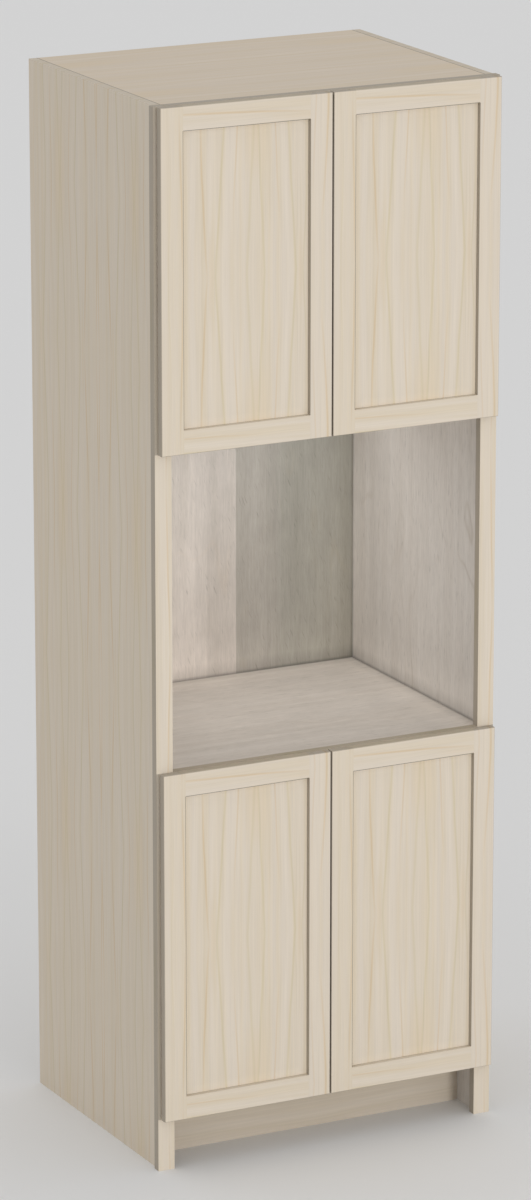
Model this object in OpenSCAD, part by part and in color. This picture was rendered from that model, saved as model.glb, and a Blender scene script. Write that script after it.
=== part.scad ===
// Tall oven housing cabinet: plywood carcass, solid maple face frame, an open oven bay and
// two pairs of recessed-panel overlay doors on single-pin cup hinges.
// Millimetres. Origin under the middle of the overall box, doors face -Y, +Z up.

/* [Cabinet] */
// overall width, across the face frame
cab_w = 800; // [700:1:900]
// overall height, floor to top
cab_h = 2286; // [2150:1:2400]
// depth from the face frame's front to the rear face
cab_d = 610; // [560:1:660]

/* [Panels] */
// side panel thickness
side_t = 18; // [16:0.5:19]
// thickness of the top, decks and bottom
panel_t = 18; // [16:0.5:20]
// back panel thickness
back_t = 12; // [9:0.5:15]
// how far the back panel and the deck tongues sit into the sides
tongue = 6; // [4:0.5:8]
// thickness of the deck tongues
tongue_t = 9; // [7:0.5:12]

/* [Face frame] */
// face frame thickness
frame_t = 19; // [17:0.5:22]
// width of the frame stiles
stile_w = 38; // [36:0.5:39]
// height of the frame rails
rail_h = 38; // [34:0.5:45]
// how far the frame stands out past each side panel
overhang = 6.5; // [3:0.5:9]
// thickness of the rail tenons
tenon_t = 7; // [5:0.5:9]
// length of the rail tenons
tenon_l = 12; // [8:0.5:16]

/* [Levels] */
// underside of the bottom rail and of the lower doors
toe_h = 115; // [95:1:130]
// top of the oven deck and of the lower doors
oven_floor = 880; // [820:1:940]
// underside of the upper doors and top of the oven opening
oven_top = 1563; // [1500:1:1640]
// toe board set back from the face frame's front
toe_setback = 99; // [75:1:120]

/* [Shelves] */
// shelf thickness
shelf_t = 18; // [16:0.5:19]
// gap at each end of a shelf
shelf_gap = 1.5; // [1:0.25:3]
// shelf set back from the face frame's rear
shelf_setback = 12; // [6:1:30]
// spacing of the shelf pin holes
pin_pitch = 32; // [25:1:40]
// pin hole that carries the lower shelf, counted up from the middle one
lower_shelf_hole = 0; // [-3:1:3]
// pin hole that carries the upper shelf, counted up from the middle one
upper_shelf_hole = 0; // [-3:1:3]
// radius of the shelf pin holes
pin_hole_r = 2.5; // [2.25:0.05:3]

/* [Doors] */
// door thickness
door_t = 18; // [18:0.5:21]
// space between a closed door and the face frame
door_gap = 2.5; // [2.3:0.1:3.5]
// frame left in sight outside a door's hinge edge
reveal = 6.5; // [5.5:0.25:9]
// gap between the two doors of a pair
pair_gap = 3.2; // [2:0.1:6]
// width of a door's stiles and rails
door_frame_w = 51; // [49:0.5:65]
// depth of the panel behind a door's front
recess = 9.2; // [8:0.1:10]
// door panel thickness
door_panel_t = 5.5; // [5:0.1:6]
// depth of the panel groove in a door's stiles and rails
groove = 10; // [8:0.5:11]
// space left between a panel or tenon and the groove's floor
groove_slack = 1; // [0.5:0.1:1.5]
// eased front edge of a door
ease = 1; // [0.5:0.1:2]
// eased rear corner on a door's hinge edge
hinge_ease = 1.5; // [1.3:0.1:1.8]

/* [Hinges] */
// hinge centre from a door's end
hinge_inset = 90; // [75:1:140]
// cup radius
cup_r = 17.5; // [17.5:0.1:18]
// cup depth
cup_depth = 14; // [13.8:0.1:14.5]
// wood left between a door's hinge edge and the cup
cup_tab = 3; // [2.8:0.1:3.4]
// cup wall thickness
cup_wall = 0.8; // [0.6:0.05:0.9]
// hinge pin in from the door's hinge edge
pin_in = 8; // [7.8:0.05:8.2]
// hinge pin forward of the door's rear face
pin_depth = 10; // [9.7:0.1:10.2]
// hinge pin radius
pin_r = 1.25; // [1:0.05:1.5]
// outer radius of the arm's rolled eye
eye_r = 2.5; // [2.3:0.05:2.6]
// arm metal thickness
arm_t = 2; // [1.6:0.05:2.2]
// half the height of the arm where it enters the cup
arm_half = 6.5; // [5.5:0.1:6.6]
// half the height of the arm's screw plate
plate_half = 18; // [16:0.5:22]
// depth of the arm's screw plate along the stile
plate_d = 17; // [15:0.5:17]
// corner radius of the screw plate
plate_r = 3; // [1:0.5:4]
// outer radius of the arm's bend in the cup
bend_r = 4; // [3:0.5:5]

/* [Fits] */
// running clearance of the arm's eye on the hinge pin
pin_fit = 0.05; // [0.02:0.01:0.1]
// clearance round the cup, screws and shelf pins in their holes
hole_fit = 0.15; // [0.05:0.01:0.3]
// clearance between the arm and the cup's pin lugs
lug_fit = 0.5; // [0.4:0.05:0.8]

/* [Hidden] */
$fn = 48;
cut = 5;
total_d = cab_d + door_gap + door_t;
back_y = total_d / 2;
frame_y = back_y - cab_d;
side_y = frame_y + frame_t;
door_y = -total_d / 2;
inner_y = back_y - back_t;
in_w = cab_w - 2 * (overhang + side_t);
open_w = cab_w - 2 * stile_w;
side_x = -cab_w / 2 + overhang;
door_x = -cab_w / 2 + reveal;
door_w = (cab_w - 2 * reveal - pair_gap) / 2;
// z ranges of the two door pairs
upper = [oven_top, cab_h];
lower = [toe_h, oven_floor];
// top faces of the bottom, the oven deck and the upper deck
deck_tops = [toe_h + rail_h, oven_floor, oven_top + rail_h];
rail_zs = [toe_h, oven_floor - rail_h, oven_top, cab_h - rail_h];
// underside of a shelf at mid-height of each closed compartment; its pins are the middle ones
mid_shelf_zs = [(deck_tops[0] + deck_tops[1] - panel_t - shelf_t) / 2,
                (deck_tops[2] + cab_h - panel_t - shelf_t) / 2];
shelf_zs = [mid_shelf_zs[0] + lower_shelf_hole * pin_pitch,
            mid_shelf_zs[1] + upper_shelf_hole * pin_pitch];
// shelf pin columns, front and rear
pin_ys = [side_y + 55, inner_y - 60];
pin_deep = 9;
tab_t = 3;
tab_l = 10;
tab_half = 5;
// hinge pieces, measured from a door's hinge edge
cup_x = cup_tab + cup_r;
leg_x = stile_w - reveal;
pin_out = door_gap + pin_depth;
lug_x = pin_in + 4;
flange_t = 1.2;
flange_r = 7;
screw_x = cup_x + 9.5;
screw_half = 22.5;
screw_r = 1.75;
head_r = 3.2;
cup_screw_l = 12;
plate_screw_half = 11;
plate_screw_l = 16;
plate_head_r = 3.6;
plate_head_t = 2.2;
bumper_r = 5;
bumper_in = 25;
maple = [0.84, 0.79, 0.72];
maple_panel = [0.82, 0.77, 0.70];
ply = [0.76, 0.71, 0.64];
ply_inside = [0.74, 0.69, 0.62];
steel = [0.72, 0.72, 0.73];
clear_soft = [0.85, 0.86, 0.86];

// block between [low, high] on each axis
module slab(x, y, z) {
    translate([x[0], y[0], z[0]]) cube([x[1] - x[0], y[1] - y[0], z[1] - z[0]]);
}

// round bar or cone along +Y from y[0] to y[1]
module rod_y(x, z, y, r1, r2) {
    translate([x, y[0], z]) rotate([-90, 0, 0]) cylinder(h = y[1] - y[0], r1 = r1, r2 = r2);
}

// round bar along +X from x[0] to x[1]
module rod_x(x, y, z, r) {
    translate([x[0], y, z]) rotate([0, 90, 0]) cylinder(h = x[1] - x[0], r = r);
}

module mirrored() {
    mirror([1, 0, 0]) children();
}

module both_sides() {
    children();
    mirrored() children();
}

// ---- carcass, left-hand pieces; the right-hand ones are mirrored ----

module side_panel() {
    face_x = side_x + side_t;
    difference() {
        slab([side_x, face_x], [side_y, back_y], [0, cab_h]);
        slab([face_x - tongue, face_x + cut], [inner_y, back_y + cut], [-cut, cab_h - panel_t]);
        for (z = deck_tops)
            slab([face_x - tongue, face_x + cut], [side_y - cut, inner_y + cut],
                 [z - panel_t, z - panel_t + tongue_t]);
        for (z = mid_shelf_zs, y = pin_ys, k = [-3:3])
            rod_x([face_x - pin_deep - 1, face_x + cut], y, z - tab_t / 2 + k * pin_pitch, pin_hole_r);
    }
}

// deck with a rabbeted tongue along each end
module deck(top) {
    slab([-in_w / 2, in_w / 2], [side_y, inner_y], [top - panel_t, top]);
    slab([-in_w / 2 - tongue, in_w / 2 + tongue], [side_y, inner_y],
         [top - panel_t, top - panel_t + tongue_t]);
}

module tenon(z, slack) {
    mid_y = frame_y + frame_t / 2;
    slab([-open_w / 2 - tenon_l - slack, -open_w / 2 + 1], [mid_y - tenon_t / 2, mid_y + tenon_t / 2],
         [z + 6, z + rail_h - 6]);
}

module frame_stile() {
    difference() {
        slab([-cab_w / 2, -cab_w / 2 + stile_w], [frame_y, side_y], [0, cab_h]);
        for (z = rail_zs) tenon(z, 0.5);
        hinge_places(upper) plate_screws(hole_fit);
        hinge_places(lower) plate_screws(hole_fit);
    }
}

module frame_rail(z) {
    slab([-open_w / 2, open_w / 2], [frame_y, side_y], [z, z + rail_h]);
    both_sides() tenon(z, 0);
}

module shelf(z) {
    slab([-in_w / 2 + shelf_gap, in_w / 2 - shelf_gap], [side_y + shelf_setback, inner_y - 2],
         [z, z + shelf_t]);
}

// peg in the side panel with a flat round-ended spoon under the shelf
module shelf_pin(y, z) {
    face_x = side_x + side_t;
    tip_x = face_x + tab_l - tab_half;
    rod_x([face_x - pin_deep, face_x], y, z - tab_t / 2, pin_hole_r - hole_fit);
    slab([face_x, tip_x], [y - tab_half, y + tab_half], [z - tab_t, z]);
    translate([tip_x, y, z - tab_t]) cylinder(h = tab_t, r = tab_half);
}

// ---- hinge pieces, at the origin of each hinge: x in from the door's hinge edge, ----
// ---- y back from the face frame's front, z from the hinge's middle ----

module hinge_places(span) {
    for (z = [span[0] + hinge_inset, span[1] - hinge_inset]) translate([door_x, frame_y, z]) children();
}

module plate_screws(fit) {
    for (s = [-1, 1]) {
        rod_x([leg_x - plate_screw_l, leg_x + arm_t], plate_d / 2 + 1, s * plate_screw_half, screw_r + fit);
        if (fit == 0)
            rod_x([leg_x + arm_t, leg_x + arm_t + plate_head_t], plate_d / 2 + 1,
                  s * plate_screw_half, plate_head_r);
    }
}

// screw plate with rounded corners, flat on the stile's inner edge
module screw_plate() {
    x = [leg_x, leg_x + arm_t];
    slab(x, [1 + plate_r, plate_d + 1 - plate_r], [-plate_half, plate_half]);
    slab(x, [1, plate_d + 1], [plate_r - plate_half, plate_half - plate_r]);
    for (y = [1 + plate_r, plate_d + 1 - plate_r], s = [-1, 1])
        rod_x(x, y, s * (plate_half - plate_r), plate_r);
}

// quarter bend of the strip, between its leg and the part that reaches the pin
module strip_bend(x, y) {
    translate([x - bend_r, y + bend_r, -arm_half]) intersection() {
        difference() {
            cylinder(h = 2 * arm_half, r = bend_r);
            translate([0, 0, -cut]) cylinder(h = 2 * arm_half + 2 * cut, r = bend_r - arm_t);
        }
        translate([0, -bend_r, 0]) cube([bend_r, bend_r, 2 * arm_half]);
    }
}

// screw plate, leg and strip into the cup, rolled eye on the pin
module hinge_arm() {
    front = -pin_out - eye_r;
    outer = leg_x + arm_t;
    difference() {
        union() {
            screw_plate();
            slab([leg_x, outer], [front + bend_r, 1 + plate_r], [-arm_half, arm_half]);
            strip_bend(outer, front);
            slab([pin_in, outer - bend_r], [front, front + arm_t], [-arm_half, arm_half]);
            translate([pin_in, -pin_out, -arm_half]) cylinder(h = 2 * arm_half, r = eye_r);
        }
        translate([pin_in, -pin_out, -arm_half - cut])
            cylinder(h = 2 * arm_half + 2 * cut, r = pin_r + pin_fit);
        plate_screws(hole_fit);
    }
}

module cup_screws(fit) {
    for (s = [-1, 1]) {
        rod_y(screw_x, s * screw_half, [-door_gap - cup_screw_l, -door_gap], screw_r + fit, screw_r + fit);
        rod_y(screw_x, s * screw_half, [-door_gap, -door_gap + flange_t], screw_r + fit, head_r + fit);
    }
}

// open inside of the cup, narrowed by a lug at each end of the pin
module cup_pocket() {
    pocket_r = cup_r - cup_wall;
    difference() {
        rod_y(cup_x, 0, [-door_gap - cup_depth + cup_wall, cut], pocket_r, pocket_r);
        for (s = [0, 1]) mirror([0, 0, s])
            slab([0, lug_x], [-door_gap - cup_depth, 2 * cut], [arm_half + lug_fit, cup_r]);
    }
}

module hinge_cup() {
    difference() {
        union() {
            rod_y(cup_x, 0, [-door_gap - cup_depth, -door_gap], cup_r, cup_r);
            slab([screw_x - flange_r, screw_x + flange_r], [-door_gap, -door_gap + flange_t],
                 [-screw_half, screw_half]);
            for (s = [-1, 1])
                rod_y(screw_x, s * screw_half, [-door_gap, -door_gap + flange_t], flange_r, flange_r);
        }
        cup_pocket();
        hinge_pin(pin_fit);
        cup_screws(hole_fit);
    }
}

module hinge_pin(fit) {
    half = arm_half + lug_fit + 1.8 + fit;
    translate([pin_in, -pin_out, -half]) cylinder(h = 2 * half, r = pin_r + fit);
}

// ---- door pieces, left-hand door between span[0] and span[1] ----

// whole door outline with eased front edges and an eased rear hinge corner
module door_blank(span) {
    rear = door_y + door_t;
    x1 = door_x + door_w;
    intersection() {
        translate([0, 0, span[0]]) linear_extrude(span[1] - span[0])
            polygon([[door_x, door_y + ease], [door_x + ease, door_y], [x1 - ease, door_y],
                     [x1, door_y + ease], [x1, rear], [door_x + hinge_ease, rear],
                     [door_x, rear - hinge_ease]]);
        translate([door_x, 0, 0]) rotate([90, 0, 90]) linear_extrude(door_w)
            polygon([[door_y, span[0] + ease], [door_y + ease, span[0]], [rear, span[0]],
                     [rear, span[1]], [door_y + ease, span[1]], [door_y, span[1] - ease]]);
    }
}

// layer of the door that holds the panel, its grooves and the rail tenons
module panel_layer(x, z) {
    slab(x, [door_y + recess, door_y + recess + door_panel_t], z);
}

module hinge_stile(span) {
    x1 = door_x + door_frame_w;
    difference() {
        intersection() {
            door_blank(span);
            slab([door_x, x1], [door_y, door_y + door_t], span);
        }
        panel_layer([x1 - groove, x1 + cut], [span[0] - cut, span[1] + cut]);
        hinge_places(span) {
            rod_y(cup_x, 0, [-door_gap - cup_depth - hole_fit, cut], cup_r + hole_fit, cup_r + hole_fit);
            cup_screws(hole_fit);
        }
    }
}

module meeting_stile(span) {
    x0 = door_x + door_w - door_frame_w;
    difference() {
        intersection() {
            door_blank(span);
            slab([x0, x0 + door_frame_w], [door_y, door_y + door_t], span);
        }
        panel_layer([x0 - cut, x0 + groove], [span[0] - cut, span[1] + cut]);
    }
}

// rail with stub tenons; up is 1 for the bottom rail, whose groove faces up, and 0 for the top rail
module door_rail(span, up) {
    x0 = door_x + door_frame_w;
    x1 = door_x + door_w - door_frame_w;
    z0 = up == 1 ? span[0] : span[1] - door_frame_w;
    solid_z = [z0 + (1 - up) * groove, z0 + door_frame_w - up * groove];
    groove_z = [z0 + up * (door_frame_w - groove) - (1 - up) * cut,
                z0 + groove + up * (door_frame_w - groove) + up * cut];
    intersection() {
        door_blank(span);
        union() {
            difference() {
                slab([x0, x1], [door_y, door_y + door_t], [z0, z0 + door_frame_w]);
                panel_layer([x0 - cut, x1 + cut], groove_z);
            }
            panel_layer([x0 - groove + groove_slack, x1 + groove - groove_slack], solid_z);
        }
    }
}

module door_panel(span) {
    lap = door_frame_w - groove + groove_slack;
    panel_layer([door_x + lap, door_x + door_w - lap], [span[0] + lap, span[1] - lap]);
}

module bumpers(span) {
    for (z = [span[0] + rail_h / 2, span[1] - rail_h / 2])
        rod_y(door_x + door_w - bumper_in, z, [frame_y - door_gap, frame_y], bumper_r, bumper_r);
}

// ---- carcass nodes ----

module left_side_panel() { color(ply) side_panel(); }
module right_side_panel() { color(ply) mirrored() side_panel(); }
module top_panel() { color(ply) slab([-in_w / 2, in_w / 2], [side_y, back_y], [cab_h - panel_t, cab_h]); }
module upper_deck() { color(ply_inside) deck(deck_tops[2]); }
module oven_deck() { color(ply_inside) deck(deck_tops[1]); }
module bottom_panel() { color(ply_inside) deck(deck_tops[0]); }
module back_panel() {
    color(ply_inside)
        slab([-in_w / 2 - tongue, in_w / 2 + tongue], [inner_y, back_y], [0, cab_h - panel_t]);
}
module toe_kick_board() {
    color(ply) slab([-in_w / 2, in_w / 2], [frame_y + toe_setback, frame_y + toe_setback + panel_t],
                    [0, deck_tops[0] - panel_t]);
}
module frame_left_stile() { color(maple) frame_stile(); }
module frame_right_stile() { color(maple) mirrored() frame_stile(); }
module frame_bottom_rail() { color(maple) frame_rail(rail_zs[0]); }
module frame_oven_rail() { color(maple) frame_rail(rail_zs[1]); }
module frame_upper_rail() { color(maple) frame_rail(rail_zs[2]); }
module frame_top_rail() { color(maple) frame_rail(rail_zs[3]); }
module lower_shelf() { color(ply_inside) shelf(shelf_zs[0]); }
module upper_shelf() { color(ply_inside) shelf(shelf_zs[1]); }
module shelf_pins() { color(steel) both_sides() for (y = pin_ys, z = shelf_zs) shelf_pin(y, z); }
module hinge_arms() { color(steel) both_sides() for (span = [lower, upper]) hinge_places(span) hinge_arm(); }
module hinge_arm_screws() {
    color(steel) both_sides() for (span = [lower, upper]) hinge_places(span) plate_screws(0);
}

// ---- door nodes: ul upper left, ur upper right, ll lower left, lr lower right ----

module ul_hinge_stile() { color(maple) hinge_stile(upper); }
module ul_meeting_stile() { color(maple) meeting_stile(upper); }
module ul_top_rail() { color(maple) door_rail(upper, 0); }
module ul_bottom_rail() { color(maple) door_rail(upper, 1); }
module ul_panel() { color(maple_panel) door_panel(upper); }
module ul_hinge_cups() { color(steel) hinge_places(upper) hinge_cup(); }
module ul_hinge_pins() { color(steel) hinge_places(upper) hinge_pin(0); }
module ul_cup_screws() { color(steel) hinge_places(upper) cup_screws(0); }
module ul_bumpers() { color(clear_soft) bumpers(upper); }

module ur_hinge_stile() { color(maple) mirrored() hinge_stile(upper); }
module ur_meeting_stile() { color(maple) mirrored() meeting_stile(upper); }
module ur_top_rail() { color(maple) mirrored() door_rail(upper, 0); }
module ur_bottom_rail() { color(maple) mirrored() door_rail(upper, 1); }
module ur_panel() { color(maple_panel) mirrored() door_panel(upper); }
module ur_hinge_cups() { color(steel) mirrored() hinge_places(upper) hinge_cup(); }
module ur_hinge_pins() { color(steel) mirrored() hinge_places(upper) hinge_pin(0); }
module ur_cup_screws() { color(steel) mirrored() hinge_places(upper) cup_screws(0); }
module ur_bumpers() { color(clear_soft) mirrored() bumpers(upper); }

module ll_hinge_stile() { color(maple) hinge_stile(lower); }
module ll_meeting_stile() { color(maple) meeting_stile(lower); }
module ll_top_rail() { color(maple) door_rail(lower, 0); }
module ll_bottom_rail() { color(maple) door_rail(lower, 1); }
module ll_panel() { color(maple_panel) door_panel(lower); }
module ll_hinge_cups() { color(steel) hinge_places(lower) hinge_cup(); }
module ll_hinge_pins() { color(steel) hinge_places(lower) hinge_pin(0); }
module ll_cup_screws() { color(steel) hinge_places(lower) cup_screws(0); }
module ll_bumpers() { color(clear_soft) bumpers(lower); }

module lr_hinge_stile() { color(maple) mirrored() hinge_stile(lower); }
module lr_meeting_stile() { color(maple) mirrored() meeting_stile(lower); }
module lr_top_rail() { color(maple) mirrored() door_rail(lower, 0); }
module lr_bottom_rail() { color(maple) mirrored() door_rail(lower, 1); }
module lr_panel() { color(maple_panel) mirrored() door_panel(lower); }
module lr_hinge_cups() { color(steel) mirrored() hinge_places(lower) hinge_cup(); }
module lr_hinge_pins() { color(steel) mirrored() hinge_places(lower) hinge_pin(0); }
module lr_cup_screws() { color(steel) mirrored() hinge_places(lower) cup_screws(0); }
module lr_bumpers() { color(clear_soft) mirrored() bumpers(lower); }

left_side_panel();
right_side_panel();
top_panel();
upper_deck();
oven_deck();
bottom_panel();
back_panel();
toe_kick_board();
frame_left_stile();
frame_right_stile();
frame_top_rail();
frame_upper_rail();
frame_oven_rail();
frame_bottom_rail();
upper_shelf();
lower_shelf();
shelf_pins();
hinge_arms();
hinge_arm_screws();
ul_hinge_stile();
ul_meeting_stile();
ul_top_rail();
ul_bottom_rail();
ul_panel();
ul_hinge_cups();
ul_hinge_pins();
ul_cup_screws();
ul_bumpers();
ur_hinge_stile();
ur_meeting_stile();
ur_top_rail();
ur_bottom_rail();
ur_panel();
ur_hinge_cups();
ur_hinge_pins();
ur_cup_screws();
ur_bumpers();
ll_hinge_stile();
ll_meeting_stile();
ll_top_rail();
ll_bottom_rail();
ll_panel();
ll_hinge_cups();
ll_hinge_pins();
ll_cup_screws();
ll_bumpers();
lr_hinge_stile();
lr_meeting_stile();
lr_top_rail();
lr_bottom_rail();
lr_panel();
lr_hinge_cups();
lr_hinge_pins();
lr_cup_screws();
lr_bumpers();
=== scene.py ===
import math

import bpy
from mathutils import Matrix, Vector


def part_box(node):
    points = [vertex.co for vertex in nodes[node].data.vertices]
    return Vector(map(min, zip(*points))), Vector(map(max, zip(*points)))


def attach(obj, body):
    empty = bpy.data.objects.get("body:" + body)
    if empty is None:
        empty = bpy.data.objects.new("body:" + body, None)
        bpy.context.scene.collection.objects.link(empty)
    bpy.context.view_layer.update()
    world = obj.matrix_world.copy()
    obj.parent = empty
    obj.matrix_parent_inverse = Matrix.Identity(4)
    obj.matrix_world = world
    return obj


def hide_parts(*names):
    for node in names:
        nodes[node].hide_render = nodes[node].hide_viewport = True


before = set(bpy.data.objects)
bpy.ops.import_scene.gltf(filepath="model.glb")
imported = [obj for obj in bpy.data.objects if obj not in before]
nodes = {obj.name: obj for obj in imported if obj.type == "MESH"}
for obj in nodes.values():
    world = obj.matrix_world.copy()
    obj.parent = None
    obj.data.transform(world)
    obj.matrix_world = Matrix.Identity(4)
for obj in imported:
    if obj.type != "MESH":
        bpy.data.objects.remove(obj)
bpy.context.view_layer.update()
print("frame loaded:", len(nodes), "nodes")

scene = bpy.context.scene
scene.view_settings.view_transform = "Standard"

axes = {"x": 0, "y": 1, "z": 2}
square = 0.7  # a face looks along an axis where its normal has more than this of it
imageWidth, imageHeight = 531, 1200  # the photograph's frame, in pixels


# one socket of a node tree; arithmetic on it adds Math nodes
class Wire:
    def __init__(self, tree, socket):
        self.tree, self.socket = tree, socket

    def math(self, operation, *others, clamp=False):
        values = dict(enumerate((self,) + others))
        return self.tree.add("ShaderNodeMath", {"operation": operation, "use_clamp": clamp}, values)

    def __add__(self, other):
        return self.math("ADD", other)

    def __radd__(self, other):
        return self.math("ADD", other)

    def __sub__(self, other):
        return self.math("SUBTRACT", other)

    def __rsub__(self, other):
        return (self * -1).math("ADD", other)

    def __mul__(self, other):
        return self.math("MULTIPLY", other)

    def __rmul__(self, other):
        return self.math("MULTIPLY", other)

    def __gt__(self, other):
        return self.math("GREATER_THAN", other)

    def __lt__(self, other):
        return self.math("LESS_THAN", other)

    def __abs__(self):
        return self.math("ABSOLUTE")

    def clamped(self):
        return self.math("ADD", 0.0, clamp=True)


class Tree:
    def add(self, kind, settings, values, output=0):
        node = self.graph.nodes.new(kind)
        for key, value in settings.items():
            setattr(node, key, value)
        for key, value in values.items():
            wires = value if isinstance(value, list) else [value]
            for wire in wires:
                if isinstance(wire, Wire):
                    self.graph.links.new(wire.socket, node.inputs[key])
                else:
                    node.inputs[key].default_value = wire
        return Wire(self, node.outputs[output]) if output is not None else None

    def vector(self, x, y, z):
        return self.add("ShaderNodeCombineXYZ", {}, {0: x, 1: y, 2: z})

    def parts(self, vector):
        return [self.add("ShaderNodeSeparateXYZ", {}, {0: vector}, k) for k in range(3)]


class Finish(Tree):
    def __init__(self, name):
        self.material = bpy.data.materials.new(name)
        self.material.use_nodes = True
        self.graph = self.material.node_tree
        self.graph.nodes.clear()

    def coordinates(self, output):
        return self.parts(self.add("ShaderNodeTexCoord", {}, {}, output))

    def noise(self, x, y, z, detail=2.0, roughness=0.5):
        return self.add("ShaderNodeTexNoise", {}, {"Vector": self.vector(x, y, z), "Scale": 1.0,
                                                   "Detail": detail, "Roughness": roughness})

    def mix(self, factor, first, second, blend="MIX"):
        return self.add("ShaderNodeMix", {"data_type": "RGBA", "blend_type": blend},
                        {0: factor, 6: first, 7: second}, 2)

    def tinted(self, factor, colour, tint):
        return self.mix(factor, colour, self.mix(1.0, colour, tint, "MULTIPLY"))

    def shaded(self, colour, shade):
        return self.mix(1.0, colour, self.vector(shade, shade, shade), "MULTIPLY")

    def finish(self, values):
        surface = self.add("ShaderNodeBsdfPrincipled", {}, values)
        self.add("ShaderNodeOutputMaterial", {}, {"Surface": surface}, None)
        return self.material


# a colour picked as 0..255 sRGB, turned into the linear values that a socket takes
def linear(*picked):
    levels = [value / 255 for value in picked]
    return (*(level / 12.92 if level <= 0.04045 else ((level + 0.055) / 1.055) ** 2.4
              for level in levels), 1.0)


def grey(value):
    return (value, value, value, 1.0)


# figure of the sliced maple veneer, drawn once, repeated on every board and mirrored at each end
# of a leaf: each line has its places across the board at the fold and one and two steps along
# from it, its half width, where along the leaf it is strongest, how far it reaches from there,
# and its strength
figure = {
    "leaf": 0.353,
    "step": 0.15,
    "middle": 0.0425,            # where a mirrored board's middle lies on the figure
    "widen": 1.3,                # all lines
    "brown": (
        (0.0500, 0.0465, 0.0427, 0.0022, 0.17, 0.19, 0.9),
        (0.1100, 0.1000, 0.0943, 0.0026, 0.17, 0.19, 1.0),
        (0.1600, 0.1695, 0.1777, 0.0020, 0.32, 0.22, 0.8),
        (0.2840, 0.2717, 0.2650, 0.0020, 0.32, 0.22, 0.8),
        (0.3450, 0.3460, 0.3512, 0.0020, 0.33, 0.20, 0.5),
        (0.3540, 0.3710, 0.3803, 0.0026, 0.33, 0.25, 0.9),
    ),
    "olive": (
        (0.1280, 0.1372, 0.1470, 0.0028, 0.20, 0.60, 0.8),
        (0.2000, 0.2070, 0.2150, 0.0036, 0.15, 0.90, 0.6),
        (0.2410, 0.2330, 0.2262, 0.0032, 0.15, 0.90, 0.7),
        (0.3130, 0.3030, 0.2950, 0.0028, 0.05, 0.60, 0.8),
        (0.3280, 0.3355, 0.3420, 0.0018, 0.05, 0.20, 0.5),
        (0.0160, 0.0200, 0.0220, 0.0020, 0.05, 0.30, 0.3),
    ),
    "pale": (
        (0.1460, 0.1530, 0.1600, 0.0095, 0.10, 0.50, 0.9),
        (0.2990, 0.2880, 0.2810, 0.0085, 0.15, 0.60, 0.9),
        (0.1180, 0.1195, 0.1220, 0.0100, 0.25, 0.17, 0.8),
        (0.3560, 0.3610, 0.3690, 0.0075, 0.15, 0.40, 0.7),
        (0.0300, 0.0280, 0.0260, 0.0080, 0.25, 0.25, 0.4),
    ),
    "blush": (
        (0.2210, 0.2210, 0.2210, 0.0300, 0.36, 0.17, 0.8),
        (0.1180, 0.1160, 0.1140, 0.0060, 0.00, 0.09, 0.5),
        (0.3230, 0.3220, 0.3210, 0.0060, 0.00, 0.09, 0.6),
    ),
}
maple = {
    "ground": linear(213, 200, 179),
    "cool": linear(215, 204, 189),
    "pale": linear(217, 206, 191),
    "brown": linear(207, 184, 150),
    "olive": linear(202, 189, 156),
    "blush": linear(217, 199, 172),
    "paleStrength": 1.0,
    "blushStrength": 0.8,
    "lineStrength": 0.8,         # brown and olive lines
    "sway": 0.004,
    "contrast": 3,               # between ground and cool
    "streaks": 0.045,
    "roughness": 0.6,
    "edge": 0.62,                # painted shade on the thickness faces beside the broad ones
    "bump": 0.05,
}
sidePly = {**maple, "lineStrength": 0.9, "streaks": 0.055, "edge": 1.0}
insidePly = {
    "ground": linear(204, 198, 191),
    "cool": linear(212, 207, 201),
    "loop": linear(182, 172, 160),
    "loopStrength": 0.5,
    "fleck": 0.20,
    "fleckFrom": 0.64,
    "slant": 0.05,               # of the flecks
    "contrast": 2.4,             # between ground and cool
    "streaks": 0.13,
    "cloud": 0.12,
    "roughness": 0.6,
    "bump": 0.08,
    "faceShades": {},
    "leaves": (),
    "foot": None,
    "rear": None,
}
bareWood = {"gloss": 0.12, "grainDepth": 0.0003, "roughnessSway": 0.15}  # unfinished: hardly any gloss


# relief is the noise that the bump and the roughness follow
def woodFinish(tree, look, colour, shade, relief):
    bump = tree.add("ShaderNodeBump", {}, {"Height": relief, "Strength": look["bump"],
                                           "Distance": bareWood["grainDepth"]})
    return tree.finish({"Base Color": tree.shaded(colour, shade), "Normal": bump,
                        "Specular IOR Level": bareWood["gloss"],
                        "Roughness": (relief - 0.5) * bareWood["roughnessSway"] + look["roughness"]})


# how much of one kind of figure line covers a place; only lines near the board are made
def lineMask(tree, kind, across, along, span):
    total = None
    stride = figure["step"]
    for start, half, end, width, peak, reach, strength in figure[kind]:
        if max(start, half, end) + width < span[0] or min(start, half, end) - width > span[1]:
            continue
        bend = (end - 2 * half + start) / (2 * stride ** 2)
        lean = (half - start) / stride - bend * stride
        centre = along.math("MULTIPLY_ADD", bend, lean).math("MULTIPLY_ADD", along, start)
        slope = -1 / (width * figure["widen"])
        near = abs(across - centre).math("MULTIPLY_ADD", slope, 1.0, clamp=True)
        power = ((along - peak) * (1 / reach)).math("POWER", 2.0)
        power = power.math("MULTIPLY_ADD", -strength, strength, clamp=True)
        part = near * power
        total = part if total is None else total.math("ADD", part, clamp=True)
    return total


# painted shade (below 1) and painted light (above 1) on the faces that look along an axis, such as {"-x":
# 0.6}
def paintedFaceShading(tree, facing, faceShades):
    shade = None
    for side, tone in faceShades.items():
        if tone == 1.0:
            continue
        turned = facing[axes[side[1]]] * (1.0 if side[0] == "+" else -1.0) > square
        part = turned.math("MULTIPLY_ADD", tone - 1.0, 1.0)
        shade = part if shade is None else shade * part
    return shade


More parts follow.
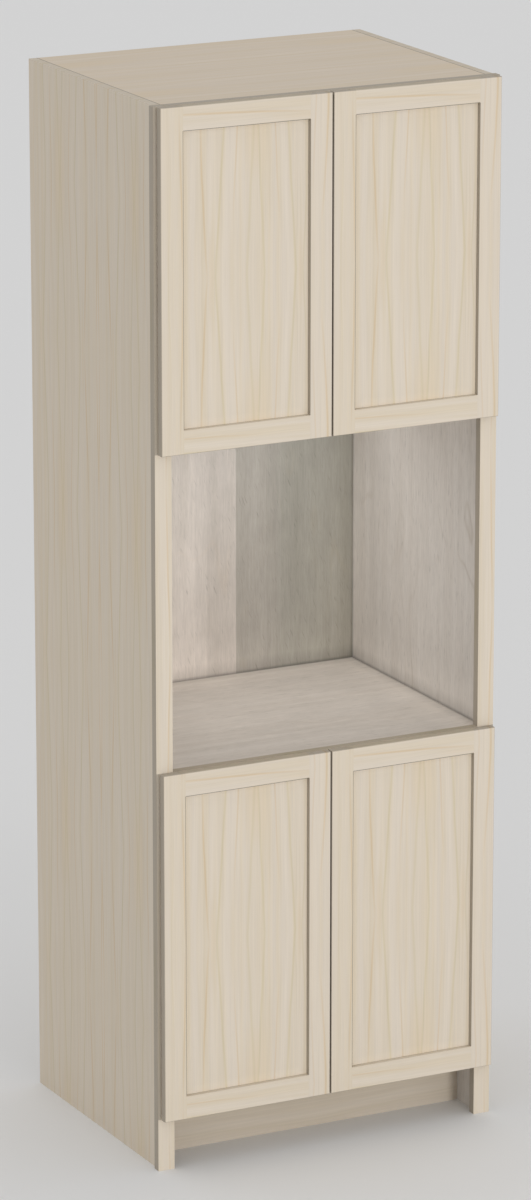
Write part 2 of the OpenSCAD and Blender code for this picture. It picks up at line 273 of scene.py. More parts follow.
# noise of the outer veneer: how fine it is across, in depth and along the grain, its detail and
# its roughness
outerGrain = {
    "sway": (4, 4, 9, 1.0, 0.5),
    "band": (75, 20, 1.6, 2.0, 0.5),
    "streak": (330, 60, 5, 2.0, 0.6),
}


def outerNoise(tree, kind, across, along, depth, seed):
    fineAcross, fineDeep, fineAlong, detail, roughness = outerGrain[kind]
    deep = seed if depth is None else depth * fineDeep + seed
    return tree.noise(across * fineAcross, deep, along * fineAlong, detail, roughness)


# figured veneer at a place on the figure: its colour, its tone and the fine streaks
def outerWood(tree, look, across, along, span, seed, depth=None):
    sway = outerNoise(tree, "sway", across, along, depth, seed)
    across = across + (sway - 0.5) * look["sway"]
    band = outerNoise(tree, "band", across, along, depth, seed)
    streak = outerNoise(tree, "streak", across, along, depth, seed)
    colour = tree.mix(((band - 0.5) * look["contrast"] + 0.5).clamped(), look["ground"], look["cool"])
    for kind, strength in (("pale", "paleStrength"), ("blush", "blushStrength"),
                           ("olive", "lineStrength"), ("brown", "lineStrength")):
        mask = lineMask(tree, kind, across, along, span)
        if mask is not None:
            colour = tree.mix(mask * look[strength], colour, look[kind])
    return colour, (streak - 0.5).math("MULTIPLY_ADD", look["streaks"] * 4, 1.0), streak


# maple board; layout says which way it lies on the figure
def mapleMaterial(name, look, layout, seed, shadeMore=None):
    tree = Finish(name)
    position, facing = tree.coordinates("Object"), tree.coordinates("Normal")
    grain, acrossAxis = layout["grain"], layout["across"]
    thickness = [axis for axis in "xyz" if axis not in (grain, acrossAxis)][0]
    across = position[axes[acrossAxis]]
    if "mirror" in layout:
        across = abs(across - layout["mirror"]) + figure["middle"]
    else:
        across = across.math("MULTIPLY_ADD", layout.get("turn", 1.0), layout["start"])
    along = abs(position[axes[grain]] - layout["fold"]).math("PINGPONG", figure["leaf"])
    colour, shade, streak = outerWood(tree, look, across, along, layout["span"], seed,
                                      position[axes[thickness]])
    # painted shade on the thickness faces, by the way they look
    faceShades = {sign + axis: layout.get("faceShades", {}).get(sign + axis, look["edge"])
             for sign in "+-" for axis in "xyz" if axis != thickness}
    faces = paintedFaceShading(tree, facing, faceShades)
    if faces is not None:
        shade = shade * faces
    # warm tint of the painted shade on upward faces
    if "upFaceShadeTint" in layout:
        colour = tree.tinted(facing[2] > square, colour, layout["upFaceShadeTint"])
    if shadeMore:
        shade = shade * shadeMore(tree, position, facing)
    return woodFinish(tree, look, colour, shade, streak)


# noise of the inner veneer: how fine it is across and along the grain, its detail and roughness
innerGrain = {
    "gate": (6, 3, 1.0, 0.5),
    "band": (45, 1.5, 2.0, 0.5),
    "fine": (400, 26, 3.0, 0.65),
    "fleck": (300, 32, 1.0, 0.5),
    "cloud": (20, 11, 3.0, 0.6),
}


def innerNoise(tree, kind, across, deep, along, seed):
    fineAcross, fineAlong, detail, roughness = innerGrain[kind]
    return tree.noise(across * fineAcross, deep * fineAcross + seed, along * fineAlong, detail, roughness)


# greyer veneer of the inner faces, with short flecks and a few wandering loops
def insideWood(tree, look, position, grain, seed):
    across, deep = (position[axes[axis]] for axis in "xyz" if axis != grain)
    along = position[axes[grain]]
    flow = tree.noise(across * 5 + seed, deep * 5, along * 1.8, 2.0)
    rings = (flow * 11).math("FRACT")
    loop = abs(rings - 0.5).math("MULTIPLY_ADD", -11.0, 1.0, clamp=True)
    gate = innerNoise(tree, "gate", across, deep, along, seed)
    loop = loop * ((gate - 0.5) * 5).clamped()
    band = innerNoise(tree, "band", across, deep, along, seed)
    fine = innerNoise(tree, "fine", across, deep, along, seed)
    fleck = innerNoise(tree, "fleck", along * look["slant"] + across, deep, along, seed)
    cloud = innerNoise(tree, "cloud", across, deep, along, seed)
    colour = tree.mix(((band - 0.5) * look["contrast"] + 0.5).clamped(), look["ground"], look["cool"])
    colour = tree.mix(loop * look["loopStrength"], colour, look["loop"])
    flecks = ((fleck - look["fleckFrom"]) * 8).clamped()
    shade = (fine - 0.5).math("MULTIPLY_ADD", look["streaks"] * 3, 1.0)
    shade = shade * flecks.math("MULTIPLY_ADD", -look["fleck"], 1.0)
    shade = shade * (cloud - 0.5).math("MULTIPLY_ADD", look["cloud"], 1.0)
    return colour, shade, fine


# fine line of painted shade along the inner corners with a painted lighter margin beside it,
# and a softer, broader painted shade where the walls stand on a deck
corner = {"reach": 0.10, "lift": 0.17, "line": 0.007, "depth": 0.36,
          "wallFoot": (0.034, 0.30), "deckFoot": (0.030, 0.14)}


# corners and feet hold the places on each axis; foot is the reach and depth of the broad shade
def cornerShade(position, corners, feet, foot, share=1.0):
    if not corners:
        return 1.0

    def away(lines):
        distances = [abs(position[axes[axis]] - place) for axis, places in lines.items()
                     for place in places]
        nearest = distances[0]
        for distance in distances[1:]:
            nearest = nearest.math("MINIMUM", distance)
        return nearest

    nearest = away(corners)
    shut = 1 - nearest.math("MULTIPLY", 1 / corner["reach"], clamp=True)
    line = 1 - nearest.math("MULTIPLY", 1 / corner["line"], clamp=True)
    stand = 1 - away(feet).math("MULTIPLY", 1 / foot[0], clamp=True)
    return (shut * corner["lift"] - line * corner["depth"] - stand * foot[1]) * share + 1


def insideMaterial(name, look, grain, seed, corners):
    tree = Finish(name)
    position, facing = tree.coordinates("Object"), tree.coordinates("Normal")
    colour, shade, fine = insideWood(tree, look, position, grain, seed)
    inward = (facing[1] > square) * -1 + 1  # the rear face shows plainer veneer
    feet, foot = (corners, "deckFoot") if grain == "x" else ({"z": boardFaces}, "wallFoot")
    shade = shade * cornerShade(position, corners, feet, corner[foot], inward)
    for start, blend, tint in look["leaves"]:
        step = (position[0] - start).math("MULTIPLY_ADD", 1 / blend, 0.5, clamp=True)
        step = step * inward.math("MULTIPLY_ADD", 1 - look["rearLeaves"], look["rearLeaves"])
        colour = tree.tinted(step, colour, tint)
    # warmer tint with painted light on the rear face
    if look["rear"]:
        colour = tree.tinted(1 - inward, colour, look["rear"])
    if look["foot"]:
        low, high, tint = look["foot"]
        fade = (position[2] - high).math("MULTIPLY", 1 / (low - high), clamp=True)
        colour = tree.tinted(fade * inward, colour, tint)
    # painted shade and painted light on faces, by the way they look
    faces = paintedFaceShading(tree, facing, look["faceShades"])
    if faces is not None:
        shade = shade * faces
    return woodFinish(tree, look, colour, shade, fine)


# line of shade where the top meets the sides; edge is how much darker the sides' upper edges are
topJoint = {"edge": 0.115, "width": 0.0022, "sharp": 2.0, "depth": 0.75}
sideLook = {**sidePly, "paleStrength": 0.7, "blushStrength": 0.7}
sideLayout = {"mirror": -0.013, "fold": 1.7125, "span": (0.04, 0.38)}
sideEdge = {"plies": 357, "plyDepth": 0.3, "depth": 0.12}  # plies: pairs per metre, one dark


# cabinet side: figured veneer outside, plain inner veneer inside, plies at the rear and lower edges
def sideMaterial(name, outwardX, seed):
    tree = Finish(name)
    position, facing = tree.coordinates("Object"), tree.coordinates("Normal")
    inner, innerShade = insideWood(tree, insidePly, position, "z", seed)[:2]
    innerShade = innerShade * cornerShade(position, {"y": [backFace], "z": boardFaces},
                                          {"z": boardFaces}, corner["wallFoot"])
    across = abs(position[1] - sideLayout["mirror"]) + figure["middle"]
    along = abs(position[2] - sideLayout["fold"]).math("PINGPONG", figure["leaf"])
    outer, outerShade, streak = outerWood(tree, sideLook, across, along, sideLayout["span"], seed)
    outside = facing[0] * outwardX > -0.3  # all but the inner face
    colour = tree.mix(outside, tree.shaded(inner, innerShade), tree.shaded(outer, outerShade))
    edge = (facing[1] > square) + (facing[2] < -square)
    layers = (position[0] * sideEdge["plies"]).math("FRACT") > 0.5
    shade = (edge * layers).math("MULTIPLY_ADD", -sideEdge["plyDepth"], 1.0)
    shade = shade * edge.math("MULTIPLY_ADD", -sideEdge["depth"], 1.0)
    shade = shade * (facing[2] > square).math("MULTIPLY_ADD", -topJoint["edge"], 1.0)
    return woodFinish(tree, sideLook, colour, shade, streak)


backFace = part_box("back_panel")[0].y
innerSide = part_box("left_side_panel")[1].x
boardFaces = [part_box("bottom_panel")[1].z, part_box("top_panel")[0].z]
for node in ("oven_deck", "upper_deck"):
    boardFaces += [end.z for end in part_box(node)]


def wear(node, material):
    data = nodes[node].data
    data.materials.clear()
    data.materials.append(material)


# fine painted shadow line where a panel enters its frame, and a painted lighter margin beside it
crease = {"width": 0.0012, "depth": 0.50, "lap": 0.009, "margin": 0.020, "lift": 0.08}


def panelCrease(node):
    low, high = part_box(node)
    centre, half = (low + high) / 2, (high - low) / 2

    def shade(tree, position, facing):
        side = abs(position[0] - centre.x).math("MULTIPLY_ADD", -1.0, half.x - crease["lap"])
        end = abs(position[2] - centre.z).math("MULTIPLY_ADD", -1.0, half.z - crease["lap"])
        nearest = side.math("MINIMUM", end)
        inside = nearest.math("MULTIPLY", 1 / crease["width"], clamp=True)
        middle = nearest.math("MULTIPLY", 1 / crease["margin"], clamp=True)
        return (inside.math("MULTIPLY_ADD", crease["depth"], 1 - crease["depth"])
                * middle.math("MULTIPLY_ADD", -crease["lift"], 1 + crease["lift"]))
    return shade


# fine painted shade line along the inner edge of a door's frame, on its front face, standing for an eased
# edge in shade
arrisShade = {"width": 0.0012, "sharp": 2.5, "stile": 0.62}


def paintedEdgeShade(axis, place, depth, between=None):
    def shade(tree, position, facing):
        away = abs(position[axes[axis]] - place)
        line = away.math("MULTIPLY_ADD", -arrisShade["sharp"] / arrisShade["width"], arrisShade["sharp"], clamp=True)
        line = line * (facing[1] < -square)
        if between:
            line = line * (abs(position[2] - between[0]) < between[1])
        return line.math("MULTIPLY_ADD", -depth, 1.0)
    return shade


# rails lie crosswise on the figure, from their right end; the face values are painted shade on their upper
# and lower faces, with a warm tint on the top rail's upper face, and a painted shade line runs along each
# rail's inner edge
railLooks = {
    "top_rail": {"start": 0.0765, "arrisShade": 0.74, "faceShades": {"+z": 0.70, "-z": 0.7},
                 "upFaceShadeTint": (0.99, 0.975, 0.91, 1.0)},
    "bottom_rail": {"start": 0.2470, "arrisShade": 0.20, "faceShades": {"+z": 1.0, "-z": 0.7}},
}
for door in ("ul", "ur", "ll", "lr"):
    parts = {piece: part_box(f"{door}_{piece}") for piece in
             ("hinge_stile", "meeting_stile", "top_rail", "bottom_rail", "panel")}
    left = min(low.x for low, high in parts.values())
    right = max(high.x for low, high in parts.values())
    bottom, top = (end.z for end in parts["hinge_stile"])
    border = parts["hinge_stile"][1].x - parts["hinge_stile"][0].x  # rails are as wide as stiles
    middle = (bottom + top) / 2
    for piece in ("hinge_stile", "meeting_stile", "panel"):
        low, high = parts[piece]
        layout = {"grain": "z", "across": "x", "start": -left, "fold": middle,
                  "span": (low.x - left, high.x - left)}
        if piece == "panel":
            more = panelCrease(f"{door}_panel")
        else:
            inner = high.x if low.x == left else low.x
            more = paintedEdgeShade("x", inner, arrisShade["stile"], (middle, (top - bottom) / 2 - border))
        wear(f"{door}_{piece}", mapleMaterial(f"{door} {piece} maple", maple, layout, 2.0, more))
    for piece, look in railLooks.items():
        low, high = parts[piece]
        layout = {**look, "grain": "x", "across": "z", "turn": -1.0, "start": look["start"] + high.z,
                  "fold": right - border, "span": (look["start"], look["start"] + border)}
        more = paintedEdgeShade("z", low.z if piece == "top_rail" else high.z, look["arrisShade"])
        wear(f"{door}_{piece}", mapleMaterial(f"{door} {piece} maple", maple, layout, 3.0, more))

# painted shadow of the doors on the frame's outer strip beside them, darker than the rest
revealShadow = {"width": 0.0065, "tone": 0.62}


def paintedRevealShadow(node):
    low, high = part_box(node)
    spans = [[end.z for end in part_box(door + "_hinge_stile")] for door in ("ul", "ll")]

    def shade(tree, position, facing):
        outer = abs(position[0]) > max(-low.x, high.x) - revealShadow["width"]
        beside = None
        for bottom, top in spans:
            part = abs(position[2] - (bottom + top) / 2) < (top - bottom) / 2
            beside = part if beside is None else beside + part
        front = facing[1] < -square
        return (outer * beside * front).math("MULTIPLY_ADD", revealShadow["tone"] - 1, 1.0)
    return shade


# where the frame's pieces lie on the figure; each rail lies a shift further than the last
stileLayout = {"start": 0.017, "span": (0.015, 0.060)}
railLayout = {"start": 0.13, "shift": 0.02, "fold": 0.1, "span": (0.12, 0.25)}
for node in ("frame_left_stile", "frame_right_stile"):
    low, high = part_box(node)
    layout = {**stileLayout, "grain": "z", "across": "x", "start": stileLayout["start"] - low.x,
              "fold": (low.z + high.z) / 2}
    wear(node, mapleMaterial(node + " maple", maple, layout, 4.0, paintedRevealShadow(node)))
for k, node in enumerate(("frame_top_rail", "frame_upper_rail", "frame_oven_rail", "frame_bottom_rail")):
    start = railLayout["start"] + k * railLayout["shift"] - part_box(node)[0].z
    layout = {**railLayout, "grain": "x", "across": "z", "start": start}
    wear(node, mapleMaterial(node + " maple", maple, layout, 5.0 + k))
print("doors and frame done")

wear("left_side_panel", sideMaterial("left side veneer", -1.0, 11.0))
wear("right_side_panel", sideMaterial("right side veneer", 1.0, 17.0))
topLayout = {"grain": "x", "across": "y", "mirror": 0.02, "fold": 0.0, "span": (0.04, 0.38)}
topLook = {**sidePly, "lineStrength": 0.12, "ground": linear(212, 197, 175), "cool": linear(214, 201, 185),
           "pale": linear(216, 203, 187)}


def topJointLine(tree, position, facing):
    away = abs(position[0]).math("MULTIPLY_ADD", -1.0, -innerSide)
    line = away.math("MULTIPLY_ADD", -topJoint["sharp"] / topJoint["width"], topJoint["sharp"], clamp=True)
    return (line * (facing[2] > square)).math("MULTIPLY_ADD", -topJoint["depth"], 1.0)


wear("top_panel", mapleMaterial("top veneer", topLook, topLayout, 8.0, topJointLine))
toeLayout = {"grain": "x", "across": "z", "start": 0.12, "fold": 0.02, "span": (0.12, 0.26)}
# the toe board's colours are darker than the maple's: painted shade of the recess it stands in
toeShadedLook = {
    **sidePly,
    "lineStrength": 0.3,
    "ground": linear(200, 188, 170),
    "cool": linear(202, 190, 174),
    "pale": linear(204, 193, 178),
    "brown": linear(194, 178, 154),
    "olive": linear(191, 180, 156),
    "blush": linear(202, 188, 167),
}
wear("toe_kick_board", mapleMaterial("toe board veneer in painted shade", toeShadedLook, toeLayout, 9.0))
deckLook = {
    **insidePly,
    "ground": linear(198, 190, 181),
    "cool": linear(206, 199, 191),
    "fleck": 0.26,
    "cloud": 0.22,
    # painted light on the front faces
    "faceShades": {"-y": 1.05},
}
for k, node in enumerate(("upper_deck", "oven_deck", "bottom_panel", "upper_shelf", "lower_shelf")):
    corners = {} if "shelf" in node else {"x": [innerSide, -innerSide], "y": [backFace]}
    wear(node, insideMaterial(node + " veneer", deckLook, "x", 21.0 + 3 * k, corners))
# leaves of veneer lie side by side: where each starts, how softly, and its tint over the one
# before, though the last, soft one is painted light towards the right corner; foot is the height
# where its tint is full, the one where it starts, and the tint
backLook = {
    **insidePly,
    "ground": linear(176, 170, 163),
    "cool": linear(184, 178, 172),
    "fleck": 0.22,
    "cloud": 0.26,
    "slant": 0.35,
    "leaves": (
        (-0.112, 0.0015, grey(1.19)),
        (-0.0135, 0.0015, grey(0.93)),
        (0.0155, 0.0015, grey(0.93)),
        (0.0865, 0.0015, (0.725, 0.74, 0.725, 1.0)),
        (0.162, 0.004, (0.93, 0.935, 0.93, 1.0)),
        (0.192, 0.020, (0.95, 0.965, 0.95, 1.0)),
        # painted light that brightens the right end against the corner's shade
        (0.30, 0.16, (1.13, 1.13, 1.12, 1.0)),
    ),
    "rearLeaves": 0.25,          # how much of the leaves' tints the rear face shows
    "foot": (0.88, 1.45, (1.13, 1.09, 1.06, 1.0)),
    # warmer tint of the rear face, with painted light that brightens it
    "rear": (1.19, 1.15, 1.06, 1.0),
}
wear("back_panel", insideMaterial("back veneer", backLook, "z", 52.0,
                                  {"x": [innerSide, -innerSide], "z": boardFaces}))
print("carcass done")


# metal and soft fittings
fittings = {
    "nickel": {"colour": linear(188, 186, 180), "metallic": 1.0, "roughness": 0.32, "cloud": 0.08},
    "zinc": {"colour": linear(178, 180, 184), "metallic": 1.0, "roughness": 0.38, "cloud": 0.12},
    "clear": {"colour": linear(214, 216, 214), "metallic": 0.0, "roughness": 0.35, "cloud": 0.03},
}
brush = {"fine": 900, "broad": 70, "tone": 0.05}  # the two noises, and how much the fine one shades


def fittingMaterial(name):
    look = fittings[name]
    tree = Finish(name + " fitting")
    x, y, z = tree.coordinates("Object")
    brushed = tree.noise(*(axis * brush["fine"] for axis in (x, y, z)))
    cloud = tree.noise(*(axis * brush["broad"] for axis in (x, y, z)))
    shade = cloud * look["cloud"] + brushed * brush["tone"] + (1 - (look["cloud"] + brush["tone"]) / 2)
    bump = tree.add("ShaderNodeBump", {}, {"Height": brushed, "Strength": 0.06, "Distance": 0.0002})
    return tree.finish({"Base Color": tree.shaded(look["colour"], shade), "Metallic": look["metallic"],
                        "Roughness": (cloud - 0.5) * 0.2 + look["roughness"], "Normal": bump})


finishes = {name: fittingMaterial(name) for name in fittings}
for node in nodes:
    if node.endswith("hinge_cups") or node == "hinge_arms":
        wear(node, finishes["nickel"])
    elif node.endswith(("hinge_pins", "screws")) or node == "shelf_pins":
        wear(node, finishes["zinc"])
    elif node.endswith("bumpers"):
        wear(node, finishes["clear"])
print("fittings done")


# geometry tree whose sizes are named inputs
class Shaper(Tree):
    def __init__(self, name, sizes):
        self.graph = bpy.data.node_groups.new(name, "GeometryNodeTree")
        face = self.graph.interface
        face.new_socket("Geometry", in_out="INPUT", socket_type="NodeSocketGeometry")
        self.sockets = {label: face.new_socket(label, in_out="INPUT", socket_type="NodeSocket" + kind)
                        for label, kind in sizes.items()}
        face.new_socket("Geometry", in_out="OUTPUT", socket_type="NodeSocketGeometry")
        self.entry = self.graph.nodes.new("NodeGroupInput")

    def size(self, label):
        return Wire(self, self.entry.outputs[label])

    def moved(self, mesh, place, turn=(0.0, 0.0, 0.0)):
        return self.add("GeometryNodeTransform", {}, {"Geometry": mesh, "Translation": place,
                                                      "Rotation": turn})

    def combined(self, operation, first, others):
        values = {"Mesh 2": others} if first is None else {"Mesh 1": first, "Mesh 2": others}
        return self.add("GeometryNodeMeshBoolean", {"operation": operation, "solver": "EXACT"}, values)

    # one copy of the shape at each point, turned by the point's own angles, as plain mesh
    def place(self, shape, twist=0.0):
        angles = self.add("GeometryNodeInputNamedAttribute", {"data_type": "FLOAT_VECTOR"},
                          {"Name": "turn"})
        spread = self.add("GeometryNodeInstanceOnPoints", {},
                          {"Points": self.size("Geometry"), "Instance": shape, "Rotation": angles})
        if twist:
            chance = self.add("FunctionNodeRandomValue", {"data_type": "FLOAT"},
                              {2: 0.0, 3: twist, 8: self.size("Seed")}, 1)
            spread = self.add("GeometryNodeRotateInstances", {},
                              {"Instances": spread, "Rotation": self.vector(0.0, 0.0, chance)})
        solid = self.add("GeometryNodeRealizeInstances", {}, {"Geometry": spread})
        done = self.add("GeometryNodeSetMaterial", {}, {"Geometry": solid, "Material": self.size("Finish")})
        self.add("NodeGroupOutput", {}, {"Geometry": done}, None)


def buildScrew():
    tree = Shaper("cross recess screw", {"Shank Radius": "Float", "Shank Length": "Float",
                                         "Head Radius": "Float", "Crown Radius": "Float",
                                         "Neck Radius": "Float", "Head Height": "Float",
                                         "Recess Width": "Float", "Seed": "Int", "Finish": "Material"})
    length, height = tree.size("Shank Length"), tree.size("Head Height")
    overlap, underShare = 0.0004, 0.6  # of the shank in the head, and of the head below its rim
    shank = tree.add("GeometryNodeMeshCylinder", {}, {"Vertices": 20, "Radius": tree.size("Shank Radius"),
                                                      "Depth": length + overlap})
    shank = tree.moved(shank, tree.vector(0.0, 0.0, length * -0.5 + overlap / 2))
    neck, rim, crown = (tree.size(k + " Radius") for k in ("Neck", "Head", "Crown"))
    under = tree.add("GeometryNodeMeshCone", {}, {"Vertices": 32, "Radius Bottom": neck,
                                                  "Radius Top": rim, "Depth": height * underShare})
    over = tree.add("GeometryNodeMeshCone", {}, {"Vertices": 32, "Radius Bottom": rim,
                                                 "Radius Top": crown, "Depth": height * (1 - underShare)})
    over = tree.moved(over, tree.vector(0.0, 0.0, height * underShare))
    whole = tree.combined("UNION", None, [shank, under, over])
    arms = []
    for angle in (0.0, math.pi / 2):
        arm = tree.add("GeometryNodeMeshCube", {}, {"Size": tree.vector(
            crown * 1.7, tree.size("Recess Width"), height * 1.2)})
        arms.append(tree.moved(arm, tree.vector(0.0, 0.0, height), (0.0, 0.0, angle)))
    tree.place(tree.combined("DIFFERENCE", whole, arms), twist=math.pi / 2)
    return tree


def buildBumper():
    tree = Shaper("bumper dome", {"Radius": "Float", "Height": "Float", "Crown": "Float",
                                  "Finish": "Material"})
    drum = tree.add("GeometryNodeMeshCylinder", {}, {"Vertices": 32, "Side Segments": 8, "Radius": 1.0,
                                                     "Depth": 1.0})
    x, y, z = tree.parts(tree.add("GeometryNodeInputPosition", {}, {}))
    rise = z + 0.5
    crown = tree.size("Crown")
    swell = (1 - rise * rise * (1 - crown * crown)).math("POWER", 0.5) * tree.size("Radius")
    dome = tree.add("GeometryNodeSetPosition", {}, {"Geometry": drum, "Position": tree.vector(
        x * swell, y * swell, rise * tree.size("Height"))})
    tree.place(dome)
    return tree


def buildShelfPin():
    tree = Shaper("spoon shelf pin", {"Peg Radius": "Float", "Peg Length": "Float", "Reach": "Float",
                                      "Half Width": "Float", "Thickness": "Float",
                                      "Finish": "Material"})
    reach, half, thick = (tree.size(k) for k in ("Reach", "Half Width", "Thickness"))
    length, overlap = tree.size("Peg Length"), 0.001  # the overlap is the peg's, in the plate
    peg = tree.add("GeometryNodeMeshCylinder", {}, {"Vertices": 24, "Radius": tree.size("Peg Radius"),
                                                    "Depth": length + overlap})
    peg = tree.moved(peg, tree.vector(0.0, 0.0, length * -0.5 + overlap / 2))
    tongue = reach - half
    plate = tree.add("GeometryNodeMeshCube", {}, {"Size": tree.vector(half * 2, thick, tongue)})
    plate = tree.moved(plate, tree.vector(0.0, 0.0, tongue * 0.5))
    tip = tree.add("GeometryNodeMeshCylinder", {}, {"Vertices": 32, "Radius": half, "Depth": thick})
    tip = tree.moved(tip, tree.vector(0.0, 0.0, tongue), (math.pi / 2, 0.0, 0.0))
    tree.place(tree.combined("UNION", None, [peg, plate, tip]))
    return tree


# fittings in one mesh for a body: each place is a point and the way the fitting looks
def fitOut(name, tree, sizes, places, body):
    mesh = bpy.data.meshes.new(name + "_places")
    mesh.from_pydata([place for place, aim in places], [], [])
    turn = mesh.attributes.new("turn", "FLOAT_VECTOR", "POINT")
    for k, (place, aim) in enumerate(places):
        turn.data[k].vector = Vector(aim).to_track_quat("Z", "Y").to_euler()
    piece = bpy.data.objects.new(name, mesh)
    scene.collection.objects.link(piece)
    modifier = piece.modifiers.new("fittings", "NODES")
    modifier.node_group = tree.graph
    for label, value in sizes.items():
        modifier[tree.sockets[label].identifier] = value
    made = bpy.data.meshes.new_from_object(piece.evaluated_get(bpy.context.evaluated_depsgraph_get()))
    piece.modifiers.remove(modifier)
    piece.data = made
    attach(piece, body)
    return piece


screws = {
    "arm": {"Shank Radius": 0.00175, "Shank Length": 0.018, "Head Radius": 0.0036,
            "Crown Radius": 0.0026, "Neck Radius": 0.0034, "Head Height": 0.0022,
            "Recess Width": 0.0009, "Seed": 3},
    "cup": {"Shank Radius": 0.00175, "Shank Length": 0.012, "Head Radius": 0.0032,
            "Crown Radius": 0.0030, "Neck Radius": 0.0018, "Head Height": 0.0012,
            "Recess Width": 0.0008, "Seed": 5},
}
bumper = {"Radius": 0.005, "Height": 0.0025, "Crown": 0.55}
shelfPin = {"Peg Radius": 0.00235, "Peg Length": 0.009, "Reach": 0.010, "Half Width": 0.005,
            "Thickness": 0.003}
# where they sit, in metres: end is from a door's ends, in from its hinge or meeting edge, apart
# from the hinge's middle, back from the frame's front; pins from the shelf space's front and back
hingeEnd = 0.090
seats = {
    "cup": {"in": 0.030, "apart": 0.0225},
    "arm": {"in": 0.0335, "apart": 0.011, "back": 0.0095},
    "bumper": {"in": 0.025, "end": 0.019},
    "pin": {"front": 0.055, "back": 0.060},
}
screwTree, bumperTree, pinTree = buildScrew(), buildBumper(), buildShelfPin()
zinc, clear = finishes["zinc"], finishes["clear"]
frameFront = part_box("frame_left_stile")[0].y
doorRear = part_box("ul_hinge_stile")[1].y
armPlaces = []
for door, body in (("ul", "upper_left_door"), ("ur", "upper_right_door"),
                   ("ll", "lower_left_door"), ("lr", "lower_right_door")):
    inward = 1 if door[1] == "l" else -1
    low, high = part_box(door + "_hinge_stile")
    edge = low.x if inward == 1 else high.x
    meetLow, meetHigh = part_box(door + "_meeting_stile")
    meet = meetHigh.x if inward == 1 else meetLow.x
    cupPlaces = []
    cup, arm, seat = seats["cup"], seats["arm"], seats["bumper"]
    for z in (low.z + hingeEnd, high.z - hingeEnd):
        for side in (-1, 1):
            cupPlaces.append(((edge + inward * cup["in"], doorRear, z + side * cup["apart"]), (0, 1, 0)))
            armPlaces.append(((edge + inward * arm["in"], frameFront + arm["back"],
                               z + side * arm["apart"]), (inward, 0, 0)))
    piece = fitOut(door + "_cup_screws_crossed", screwTree, {**screws["cup"], "Finish": zinc}, cupPlaces,
                   body)
    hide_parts(door + "_cup_screws")
    bumperPlaces = [((meet - inward * seat["in"], doorRear, z), (0, 1, 0))
                    for z in (low.z + seat["end"], high.z - seat["end"])]
    piece = fitOut(door + "_bumper_domes", bumperTree, {**bumper, "Finish": clear}, bumperPlaces, body)
    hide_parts(door + "_bumpers")
piece = fitOut("hinge_arm_screws_crossed", screwTree, {**screws["arm"], "Finish": zinc}, armPlaces,
               "cabinet")
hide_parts("hinge_arm_screws")
pinPlaces = []
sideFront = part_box("left_side_panel")[0].y
for shelf in ("upper_shelf", "lower_shelf"):
    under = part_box(shelf)[0].z - shelfPin["Thickness"] / 2
    for y in (sideFront + seats["pin"]["front"], backFace - seats["pin"]["back"]):
        pinPlaces += [((-side * innerSide, y, under), (-side, 0, 0)) for side in (-1, 1)]
piece = fitOut("shelf_pins_spoon", pinTree, {**shelfPin, "Finish": zinc}, pinPlaces, "cabinet")
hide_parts("shelf_pins")
print("screws, bumpers and pins done")


# floor, light and camera
studio = {
    "floorColour": grey(0.82),
    "floorHalf": 40.0,
    "worldStrength": 0.76,
    "keyStrength": 0.95,
    "keyDirection": (0.01, -0.30, 0.02),  # towards the lamp
    "keySoftness": math.radians(12),
}
# softboxes at the roof and the two sides of the open bay
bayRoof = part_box("upper_deck")[0].z - 0.004
bayWall = -innerSide - 0.01
roofBox, wallBox = (0.32, 0.24), (0.28, 0.44)
bayLights = (  # watts, middle, turn about y, size, and spread in degrees
    (0.14, (0.18, -0.10, bayRoof), 0.0, roofBox, 110),
    (0.13, (-0.18, 0.12, bayRoof), 0.0, roofBox, 110),
    (0.44, (0.18, 0.12, bayRoof), 0.0, roofBox, 110),
    (0.13, (-bayWall, -0.02, 1.05), -math.pi / 2, wallBox, 90),
    (0.11, (-bayWall, -0.02, 1.38), -math.pi / 2, wallBox, 90),
    (0.66, (bayWall, -0.02, 1.38), math.pi / 2, wallBox, 110),
)
lens = {
    "focal": 5911.33,            # pixels
    "centre": (276.92, 643.0),   # where the axis meets the picture
    "azimuth": -0.4732, "elevation": 0.2772, "roll": -0.0005,
    "place": (-5.5290, -10.8615, 4.5055),
}

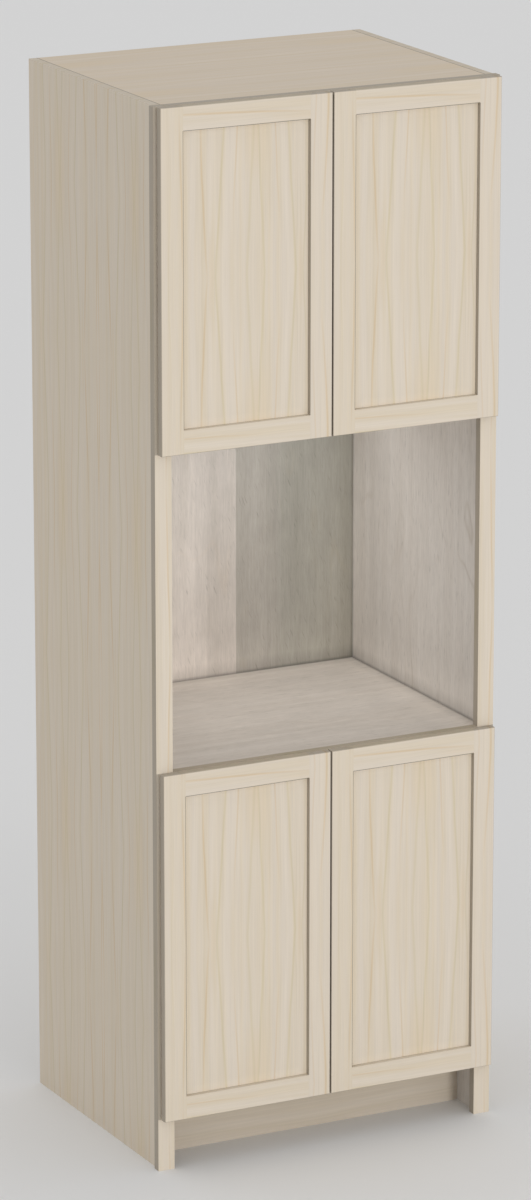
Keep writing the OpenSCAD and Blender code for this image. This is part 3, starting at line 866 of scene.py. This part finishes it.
floorMesh = bpy.data.meshes.new("floor")
half = studio["floorHalf"]
floorMesh.from_pydata([(-half, -half, 0), (half, -half, 0), (half, half, 0), (-half, half, 0)], [],
                      [(0, 1, 2, 3)])
floor = bpy.data.objects.new("floor", floorMesh)
scene.collection.objects.link(floor)
floorMesh.materials.append(Finish("floor paint").finish({"Base Color": studio["floorColour"],
                                                         "Roughness": 0.9}))

world = bpy.data.worlds.new("studio")
world.use_nodes = True
background = world.node_tree.nodes["Background"]
background.inputs["Color"].default_value = grey(1.0)
background.inputs["Strength"].default_value = studio["worldStrength"]
scene.world = world

key = bpy.data.lights.new("key", "SUN")
key.energy = studio["keyStrength"]
key.angle = studio["keySoftness"]
keyLamp = bpy.data.objects.new("key", key)
keyLamp.rotation_euler = Vector(studio["keyDirection"]).to_track_quat("Z", "Y").to_euler()
scene.collection.objects.link(keyLamp)

for power, place, turn, size, spread in bayLights:
    soft = bpy.data.lights.new("bay softbox", "AREA")
    soft.shape = "RECTANGLE"
    soft.size, soft.size_y = size
    soft.energy = power
    soft.spread = math.radians(spread)
    softLamp = bpy.data.objects.new("bay softbox", soft)
    softLamp.location = place
    softLamp.rotation_euler = (0.0, turn, 0.0)
    softLamp.visible_camera = False
    scene.collection.objects.link(softLamp)


def placeCamera():
    camera = bpy.data.cameras.new("camera")
    camera.sensor_width = 36.0
    camera.lens = lens["focal"] * camera.sensor_width / imageHeight
    camera.shift_x = (imageWidth / 2 - lens["centre"][0]) / imageHeight
    camera.shift_y = (lens["centre"][1] - imageHeight / 2) / imageHeight
    camera.clip_end = 200.0
    azimuth, elevation, roll = lens["azimuth"], lens["elevation"], lens["roll"]
    forward = Vector((-math.sin(azimuth) * math.cos(elevation), math.cos(azimuth) * math.cos(elevation),
                      -math.sin(elevation)))
    right = Vector((math.cos(azimuth), math.sin(azimuth), 0.0))
    down = forward.cross(right)
    right, down = (math.cos(roll) * right + math.sin(roll) * down,
                   math.cos(roll) * down - math.sin(roll) * right)
    turn = Matrix((right, -down, -forward)).transposed().to_4x4()
    stand = bpy.data.objects.new("camera", camera)
    stand.matrix_world = Matrix.Translation(lens["place"]) @ turn
    scene.collection.objects.link(stand)
    scene.camera = stand


placeCamera()
print("studio done")
